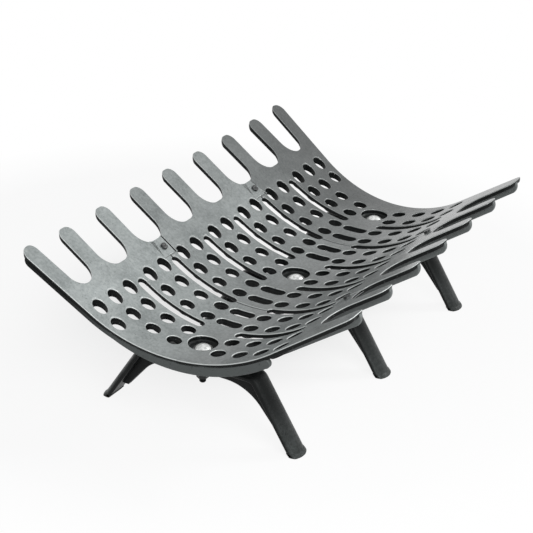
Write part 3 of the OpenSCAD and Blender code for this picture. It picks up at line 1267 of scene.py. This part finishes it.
    def ribs(self) -> Shell:
        """Makes the ribs under the fingers, each with a rounded nose below its fingertip.

        The rib over the leg arch stops at the boss of the bolt.

        Returns:
            All of them in one mesh.
        """
        dish = self.dish
        tip_s = dish.arc_len + (self.tip_y - dish.arc_end) / math.cos(math.radians(dish.arm_deg))
        nose_s = tip_s - self.nose_back
        first = math.degrees(math.asin((self.rib_depth - self.nose_depth) / self.nose_r))
        last = math.degrees(math.asin((self.bury - self.nose_depth) / self.nose_r))
        nose = [
            dish.arm_point(
                nose_s + self.nose_r * math.cos(turn), self.nose_depth + self.nose_r * math.sin(turn)
            )
            for turn in swing(first, last, steps=8)
        ]
        turns = swing(0, dish.arc_deg, steps=16)
        outwards = [dish.arc_point(turn, self.rib_depth) for turn in turns] + nose
        back = [dish.arm_point(nose_s, self.bury)]
        back += [dish.arc_point(turn, self.bury) for turn in reversed(turns)]
        shells = []
        for k in self.columns:
            half = outwards + back
            if k == self.centre_column:
                kept = [point for point in back if point[0] > self.dish_r + self.bed_clear]
                edge, bed = self.dish_r + self.bed_edge, self.boss_bottom + self.bed_rise
                half = outwards + kept + [(edge, kept[-1][1] - self.bed_drop), (edge, bed), (0.0, bed)]
            loop = half + [(-y, z) for y, z in reversed(half)][1:-1]
            rib = cast_plate([loop], self.rib_w, self.rib_round)
            shells.append(moved(rib, along(x=k * self.pitch) @ UPRIGHT))
        return join(shells)

    def recess(self) -> Shell:
        """Makes the boss under the plate, with the recess that holds the bolt's head.

        Returns:
            Its mesh.
        """
        under = self.dish.top - self.dish.thickness
        bore, rim, boss = self.bolt_hole_r, self.dish_r, self.boss_r
        low, floor = self.boss_bottom, self.recess_floor
        bevel, bevel_mid, lip, lip_foot, corner, corner_mid = 1.2, 0.35, 1.5, 0.1, 1.6, 0.5
        profile = [
            (bore, low), (boss - bevel, low), (boss - bevel_mid, low + bevel_mid), (boss, low + bevel),
            (boss, under + lip), (rim + lip, under + lip), (rim, under + lip_foot),
            (rim, floor + corner), (rim - corner_mid, floor + corner_mid), (rim - corner, floor),
            (bore, floor),
        ]
        return moved(lathe(profile), along(x=self.centre_x))

    def laps(self) -> list[Shell]:
        """Makes the tab over the right neighbour and the ledge under the left one, on both sides.

        Their far edge follows the bottom of the gap.

        Returns:
            Their meshes.
        """
        full = self.dish.thickness
        half = full / 2 - self.lap_clear
        spans = []
        if self.place is not Place.RIGHT:
            reach = self.lap_left + self.seam_gap + self.lap_grip
            spans.append((self.seam_x(self.index + 1), -reach, self.lap_right, 0.0, half))
        if self.place is not Place.LEFT:
            reach = self.lap_right + self.lap_gap + self.lap_grip
            spans.append((self.seam_x(self.index), -self.lap_left, reach, full - half, full))
        shells = []
        near, steps = self.lap_y + self.lap_clear, 12
        for seam, left, right, upper, lower in spans:
            loop = [(seam + left, near), (seam + right, near)]
            for i in range(steps + 1):
                offset = right + (left - right) * i / steps
                beyond = max(abs(offset) - self.gap_level, 0)
                centre = self.gap_y + self.lap_proud + self.gap_corner
                loop.append((seam + offset, centre - math.sqrt(self.gap_corner**2 - beyond**2)))
            for plan in (loop, flipped(loop)[::-1]):
                shells.append(self.dish.bend(cast_plate([plan], half, rounding=0.5, steps=2), upper, lower))
        return shells

    def build(self, plate: Material, rib: Material, skirt: Material, boss: Material) -> None:
        """Makes the panel's pieces.

        Args:
            plate: Finish of the plate.
            rib: Finish of the ribs.
            skirt: Finish of the skirt.
            boss: Finish of the bolt recess, near-black as painted shade.
        """
        node, word, slot = f"panel_{self.place.word}", self.place.word, "panel_iron"
        finish_piece(f"cast_boss_{word}", node, self.recess(), boss)
        finish_piece(f"cast_{node}", node, join([self.sheet(), self.collars(), *self.laps()]), plate)
        finish_piece(f"cast_ribs_{word}", node, self.ribs(), rib)
        if self.index:
            shell = Skirt(self.index, self.dish, self.half_len, self.taper, self.bury).shell()
            finish_piece(f"cast_skirt_{word}", node, shell, skirt)


# ---------------------------------------------------------------- leg arches


@dataclass
class LegArch:
    """T-section arch with a domed flange, two legs and a web with a round soffit."""

    place: Place
    spacing: float = PANEL_SPACING
    top: float = 90.0
    foot_y: float = 134.5
    lean: float = 32.7
    knee_r: float = 18.0
    knee_steps: int = 10
    overrun: float = 12.0
    flange_w: float = 28.0
    flange_t: float = 10.0
    dome: float = 5.0
    dome_inset: float = 1.0
    side_r: float = 1.6
    side_drop: float = 2.1
    back_r: float = 1.4
    web_t: float = 8.0
    web_round: float = 1.5
    web_sunk: float = 1.0
    web_end: float = 20.0
    hub_r: float = 13.0
    hub_clear: float = 0.6
    bore_r: float = 4.5
    crown_y: float = 33.0
    crown_z: float = 68.0
    soffit_r: float = 60.0
    soffit_deg: float = 50.0
    toe: float = 1.5
    toe_h: float = 4.5
    toe_depth: float = 13.0
    toe_round: float = 0.9

    def section(self, depth: float) -> Loop:
        """Cross-section of the flange.

        Args:
            depth: Depth behind the crown.

        Returns:
            Across and outwards, with the crown at zero.
        """
        half = self.flange_w / 2
        radius = (half * half + self.dome * self.dome) / (2 * self.dome)
        spread = math.degrees(math.asin((half - self.dome_inset) / radius))
        side = -radius + radius * math.cos(math.radians(spread)) - self.side_drop
        side_x, back_x, back = half - self.side_r, half - self.back_r, -depth + self.back_r
        path = Outline().arc(0, -radius, radius, 90 - spread, 90 + spread, FINE_ARC_DEG)
        path.arc(-side_x, side, self.side_r, 165, 180, step=15)
        path.arc(-back_x, back, self.back_r, 180, 270, step=30)
        path.arc(back_x, back, self.back_r, 270, 360, step=30)
        return path.arc(side_x, side, self.side_r, 0, 15, step=15).points

    def flange(self) -> Shell:
        """Sweeps the flange from its middle over each knee and down each leg, and cuts it at the floor.

        Returns:
            Its mesh.
        """
        lean = math.radians(self.lean)
        bend = math.pi / 2 - lean
        knee_y = self.foot_y - self.top * math.tan(lean) - self.knee_r * math.tan(bend / 2)
        knee_z = self.top - self.knee_r
        leg = Vector((0, math.sin(lean), -math.cos(lean))) * (self.top + self.overrun) / math.cos(lean)
        shell = bmesh.new()
        ring = [shell.verts.new((x, 0, self.top + out)) for x, out in self.section(self.flange_t)]
        edges = [shell.edges.new((a, b)) for a, b in zip(ring, ring[1:] + ring[:1])]
        for way in (1, -1):
            knee = extruded(shell, edges, Vector((0, way * knee_y, 0)))
            turned = bmesh.ops.spin(
                shell, geom=knee, cent=(0, way * knee_y, knee_z), axis=(1, 0, 0), angle=-way * bend,
                steps=self.knee_steps,
            )["geom_last"]
            foot = extruded(shell, picked(turned, Edge), Vector((0, way * leg.y, leg.z)))
            bmesh.ops.holes_fill(shell, edges=foot)
        closed(shell)
        cut = bmesh.ops.bisect_plane(
            shell, geom=shell.verts[:] + shell.edges[:] + shell.faces[:],
            plane_co=(0, 0, 0), plane_no=(0, 0, -1), clear_outer=True,
        )["geom_cut"]
        bmesh.ops.holes_fill(shell, edges=picked(cut, Edge))
        return closed(shell)

    def web(self) -> Shell:
        """Makes the web, from inside the flange down to its round soffit.

        Returns:
            Its mesh.
        """
        lean = math.radians(self.lean)
        shift = self.flange_t / 2 + self.web_sunk
        knee_y = self.foot_y - self.top * math.tan(lean)
        corner = knee_y - shift * math.tan((math.pi / 2 - lean) / 2)
        low = self.foot_y - shift / math.cos(lean) - self.web_end * math.tan(lean)
        turn = math.radians(self.soffit_deg)
        spring_y = self.crown_y + self.soffit_r * math.sin(turn)
        spring_z = self.crown_z - self.soffit_r * (1 - math.cos(turn))
        inner = spring_y + (spring_z - self.web_end) / math.tan(turn)
        centre_z = self.crown_z - self.soffit_r
        path = Outline().to(low, self.web_end).to(corner, self.top - shift).to(-corner, self.top - shift)
        path.to(-low, self.web_end).to(-inner, self.web_end)
        path.arc(-self.crown_y, centre_z, self.soffit_r, 90 + self.soffit_deg, 90, FINE_ARC_DEG)
        path.arc(self.crown_y, centre_z, self.soffit_r, 90, 90 - self.soffit_deg, FINE_ARC_DEG)
        path.to(inner, self.web_end)
        return moved(cast_plate([path.points], self.web_t, self.web_round), UPRIGHT)

    def toe_block(self, side: Side) -> Shell:
        """Makes the thicker toe that a leg stands on.

        Args:
            side: Side of the grate that the leg is on.

        Returns:
            Its mesh.
        """
        way = side.value
        plan = [(way * x, way * (self.foot_y + self.toe + out)) for x, out in self.section(self.toe_depth)]
        block = moved(cast_plate([plan], self.toe_h, self.toe_round), along(z=self.toe_h / 2))
        slope = math.tan(math.radians(self.lean)) + self.toe / self.toe_h

        def lean_in(co: Vector) -> Vector:
            """Leans a point as the leg leans."""
            return co - Vector((0, way * slope * co.z, 0))

        return reshaped(block, lean_in)

    def hub(self) -> Shell:
        """Makes the round boss in the web that the bolt passes through.

        Returns:
            Its mesh.
        """
        low, high = self.crown_z, self.top - self.hub_clear
        bore, radius, bevel = self.bore_r, self.hub_r, 1.0
        return lathe([
            (bore, low), (radius - bevel, low), (radius, low + bevel), (radius, high), (bore, high),
        ])

    def build(self, iron: Material) -> None:
        """Makes the arch a piece.

        Args:
            iron: Its finish.
        """
        word = self.place.word
        shell = join([self.flange(), self.web(), self.hub(), *(self.toe_block(side) for side in Side)])
        moved(shell, along(x=self.place.value * self.spacing))
        finish_piece(f"cast_arch_{word}", f"leg_arch_{word}", shell, iron)


# ---------------------------------------------------------------- fasteners


@dataclass
class CentreFixing:
    """Domed bolt, washer and nut that hold a panel on its arch."""

    place: Place
    spacing: float = PANEL_SPACING
    head_z: float = 97.0
    head_r: float = 11.0
    head_h: float = 5.0
    shank_r: float = 4.0
    end_z: float = 54.0
    thread_top: float = 66.0
    thread_pitch: float = 1.25
    thread_depth: float = 0.55
    thread_lead: float = 0.6
    end_bevel: float = 0.8
    washer_play: float = 0.5
    nut_play: float = 0.05
    washer_top: float = 68.0
    washer_r: float = 9.0
    washer_t: float = 1.6
    nut_h: float = 6.5
    nut_r: float = 7.5

    def bolt(self) -> Shell:
        """Turns the bolt: a domed head, a plain shank and an end with rings for a thread.

        Returns:
            Its mesh.
        """
        dome_r = (self.head_r**2 + self.head_h**2) / (2 * self.head_h)
        centre = self.head_z + self.head_h - dome_r
        dome_inset, rim_bevel, rim_h, neck, neck_h = 0.4, 0.5, 0.3, 0.1, 1.0
        spread = math.degrees(math.asin((self.head_r - dome_inset) / dome_r))
        profile: Loop = [(0.0, self.end_z), (self.shank_r - self.end_bevel, self.end_z)]
        for i in range(int((self.thread_top - self.end_z - neck_h) / self.thread_pitch)):
            z = self.end_z + self.thread_lead + i * self.thread_pitch
            profile += [(self.shank_r - self.thread_depth, z), (self.shank_r, z + self.thread_pitch / 2)]
        profile += [(self.shank_r - neck, self.thread_top), (self.shank_r, self.thread_top + neck_h)]
        profile += [(self.shank_r, self.head_z), (self.head_r - rim_bevel, self.head_z)]
        profile += [(self.head_r, self.head_z + rim_h)]
        profile += Outline().arc(0, centre, dome_r, 90 - spread, 90, step=4).points
        profile[-1] = (0.0, self.head_z + self.head_h)
        return lathe(profile)

    def washer(self) -> Shell:
        """Makes the flat washer.

        Returns:
            Its mesh.
        """
        hole_r = self.shank_r + self.washer_play
        loops = [circle(0, 0, self.washer_r, count=48), circle(0, 0, hole_r, count=36)]
        flat = cast_plate(loops, self.washer_t, rounding=0.3, steps=2)
        return moved(flat, along(z=self.washer_top - self.washer_t / 2))

    def nut(self) -> Shell:
        """Makes the hexagon nut.

        Returns:
            Its mesh.
        """
        loops = [circle(0, 0, self.nut_r, HEXAGON), circle(0, 0, self.shank_r + self.nut_play, count=36)]
        flat = cast_plate(loops, self.nut_h, rounding=0.45, steps=2)
        return moved(flat, along(z=self.washer_top - self.washer_t - self.nut_h / 2))

    def build(self, bright: Material, dark_and_shaded: Material) -> None:
        """Makes the bolt, washer and nut pieces.

        Args:
            bright: Finish of the bolt.
            dark_and_shaded: Finish of the washer and nut.
        """
        # The washer and nut take the dark steel, with painted shade below its line.
        fixings = ("bolt", self.bolt(), bright), ("washer", self.washer(), dark_and_shaded), ("nut", self.nut(), dark_and_shaded)
        for kind, shell, steel in fixings:
            moved(shell, along(x=self.place.value * self.spacing))
            node = f"{kind}_{self.place.word}"
            finish_piece(f"steel_{node}", node, shell, steel)


@dataclass
class SeamFixing:
    """Slotted screw and nut through the laps of one seam, left or right of the middle panel."""

    seam: Place
    side: Side
    dish: Dish = field(default_factory=Dish)
    seam_x: float = PANEL_SPACING / 2
    offset: float = 1.0
    screw_s: float = 136.0
    screw_r: float = 2.5
    screw_len: float = 12.5
    head_r: float = 4.5
    head_h: float = 2.6
    driver_slot: float = 1.2
    cheek_sunk: float = 0.2
    nut_r: float = 4.6
    nut_h: float = 4.0
    nut_play: float = 0.05

    def screw(self) -> Shell:
        """Makes the screw: a stem, and two cheeks that leave the driver's slot between them.

        Returns:
            Its mesh, standing on its own Z axis.
        """
        lean = math.degrees(math.asin(self.driver_slot / 2 / self.head_r))
        rise, bevel = self.head_h / 2, 0.5
        stem = lathe([
            (0.0, -self.screw_len), (self.screw_r - bevel, -self.screw_len),
            (self.screw_r, -self.screw_len + bevel), (self.screw_r, 0.0),
            (self.head_r, 0.0), (self.head_r, rise), (0.0, rise),
        ], steps=32)
        middle = self.head_h - rise / 2 - self.cheek_sunk / 2
        cheeks = []
        for turn in (0, 180):
            loop = Outline().arc(0, 0, self.head_r, turn + lean, turn + 180 - lean, LOOP_ARC_DEG).points
            cheek = cast_plate([loop], rise + self.cheek_sunk, rounding=0.35, steps=2)
            cheeks.append(moved(cheek, along(z=middle)))
        return join([stem, *cheeks])

    def nut(self) -> Shell:
        """Makes the hexagon nut under the plate.

        Returns:
            Its mesh.
        """
        loops = [circle(0, 0, self.nut_r, HEXAGON), circle(0, 0, self.screw_r + self.nut_play, count=24)]
        flat = cast_plate(loops, self.nut_h, rounding=0.35, steps=2)
        return moved(flat, along(z=-self.dish.thickness - self.nut_h / 2))

    def build(self, steel: Material) -> None:
        """Makes the screw and nut pieces, square to the slope of the panel.

        Args:
            steel: Their finish.
        """
        y, z = self.dish.arm_point(self.screw_s, 0)
        lean = Matrix.Rotation(math.radians(self.dish.arm_deg), 4, "X")
        seat = along(self.seam.value * self.seam_x + self.offset, y, z) @ lean
        if self.side is Side.NARROW:
            seat = Matrix.Diagonal((1, -1, 1, 1)) @ seat
        for kind, shell in (("screw", self.screw()), ("nut", self.nut())):
            node = f"seam_{kind}_{self.seam.word}_{self.side.name.lower()}"
            finish_piece(f"steel_{node}", node, moved(shell, seat), steel)


# ---------------------------------------------------------------- studio


@dataclass
class Studio:
    """Camera at the photograph's viewing angle, pale floor and soft lamps.

    The camera's eye, lens and sensor are in millimetres, and places and reaches in metres. The camera
    sees more of the floor's shadow near the centre of the shade.
    """

    eye: Triple = (-1588.8, -854.4, 976.9)
    right: Triple = (0.50236, -0.86425, 0.02657)
    up: Triple = (0.36182, 0.23802, 0.90135)
    lens: float = 109.1
    sensor: float = 36.0
    far: float = 100.0
    floor_size: float = 14.0
    floor_tone: Triple = (0.97, 0.97, 0.97)
    floor_rough: float = 0.9
    floor_gloss: float = 0.1
    shade_centre: Point = (0.06, 0.14)
    shade_reach: Span = (0.02, 0.32)
    white_share: Span = (0.66, 0.88)
    white_reach: Span = (-0.6, 0.62)
    sky: Triple = (0.96, 0.98, 1.0)
    sky_strength: float = 0.3
    aim: Triple = (0.0, 0.0, 0.1)

    def camera(self) -> None:
        """Sets up the camera."""
        data = bpy.data.cameras.new("camera")
        data.lens = self.lens
        data.sensor_width = self.sensor
        data.clip_end = self.far
        camera = placed("camera", data)
        right, up = Vector(self.right).normalized(), Vector(self.up).normalized()
        turn = Matrix((right, up, right.cross(up))).transposed().to_4x4()
        camera.matrix_world = Matrix.Translation(Vector(self.eye) * MM) @ turn
        bpy.context.scene.camera = camera

    def seen(self, sheet: NodeSheet) -> Socket:
        """Adds what tells the background's own look from its light on the grate.

        Args:
            sheet: The nodes to add to.

        Returns:
            1 for what is seen directly, mirrored or through glass, else 0.
        """
        path = sheet.add("LightPath").outputs
        mirrored = sheet.math("MAXIMUM", path["Is Glossy Ray"], path["Is Transmission Ray"])
        return sheet.math("MAXIMUM", path["Is Camera Ray"], mirrored)

    def floor(self) -> None:
        """Lays the floor, which shows white to the camera and keeps the shadow."""
        shell = bmesh.new()
        bmesh.ops.create_grid(shell, x_segments=1, y_segments=1, size=self.floor_size / 2)
        mesh = bpy.data.meshes.new("studio_floor")
        shell.to_mesh(mesh)
        shell.free()
        material, sheet, shader = new_material("studio_floor")
        sheet.fill(shader, {
            "Base Color": (*self.floor_tone, 1),
            "Roughness": self.floor_rough,
            "Specular IOR Level": self.floor_gloss,
        })
        white = sheet.add("Emission", {"Color": WHITE, "Strength": 1.0})
        place = sheet.add("TexCoord").outputs["Object"]
        offset = sheet.add("VectorMath", {0: place, 1: (*self.shade_centre, 0)}, operation="SUBTRACT")
        reach = sheet.add("VectorMath", {0: offset.outputs["Vector"]}, operation="LENGTH").outputs["Value"]
        near = sheet.ramp(reach, self.shade_reach, self.white_share)
        near.node.interpolation_type = "SMOOTHERSTEP"
        share = sheet.math("MAXIMUM", near, sheet.ramp(reach, self.white_reach))
        shown = sheet.math("MULTIPLY", self.seen(sheet), share)
        blend = sheet.add("MixShader", {0: shown, 1: shader.outputs[0], 2: white.outputs[0]})
        sheet.fill(material.node_tree.nodes["Material Output"], {"Surface": blend.outputs[0]})
        mesh.materials.append(material)
        placed("studio_floor", mesh)

    def world(self) -> None:
        """Sets the surroundings: white to the camera, dim to the object."""
        world = bpy.data.worlds.new("studio")
        world.use_nodes = True
        sheet = NodeSheet(world.node_tree)
        plain = world.node_tree.nodes["Background"]
        sheet.fill(plain, {"Color": (*self.sky, 1), "Strength": self.sky_strength})
        white = sheet.add("Background", {"Color": WHITE, "Strength": 1.0})
        blend = sheet.add("MixShader", {0: self.seen(sheet), 1: plain.outputs[0], 2: white.outputs[0]})
        sheet.fill(world.node_tree.nodes["World Output"], {"Surface": blend.outputs[0]})
        bpy.context.scene.world = world

    def lamp(self, name: str, place: Triple, size: float, watts: float) -> None:
        """Hangs a square soft lamp that points at the grate.

        Args:
            name: Name of the lamp.
            place: Where it hangs.
            size: Edge of the lamp.
            watts: Its power.
        """
        data = bpy.data.lights.new(name, "AREA")
        data.shape = "SQUARE"
        data.size = size
        data.energy = watts
        aim = Vector(self.aim) - Vector(place)
        turn = aim.to_track_quat("-Z", "Y").to_matrix().to_4x4()
        placed(name, data).matrix_world = Matrix.Translation(place) @ turn

    def build(self) -> None:
        """Sets the whole studio."""
        self.camera()
        self.floor()
        self.world()
        self.lamp("key_right", (2.5, -2.0, 2.3), size=1.2, watts=50.0)
        self.lamp("fill_left", (-0.7, -0.8, 0.8), size=0.7, watts=9.0)
        bpy.context.scene.view_settings.view_transform = "Standard"


# ---------------------------------------------------------------- the whole grate


def main() -> None:
    """Builds every piece of the grate and the studio round it."""
    logging.basicConfig(level=logging.INFO, format="%(name)s: %(message)s")
    Studio().build()
    skin = SandCastSkin().group()
    ribs, skirts, recess_shades, legs = (iron.material(skin) for iron in (RIB_IRON, SKIRT_IRON, RECESS_SHADE_IRON, LEG_IRON))
    bright, dark_and_shaded = BRIGHT_STEEL.material(), DARK_STEEL_AND_SHADE.material()
    for place in Place:
        Panel(place).build(PANEL_IRONS[place].material(skin), ribs, skirts, recess_shades)
        LegArch(place).build(legs)
        CentreFixing(place).build(bright, dark_and_shaded)
    for seam in (Place.LEFT, Place.RIGHT):
        for side in Side:
            SeamFixing(seam, side).build(dark_and_shaded)


if __name__ == "__main__":
    main()
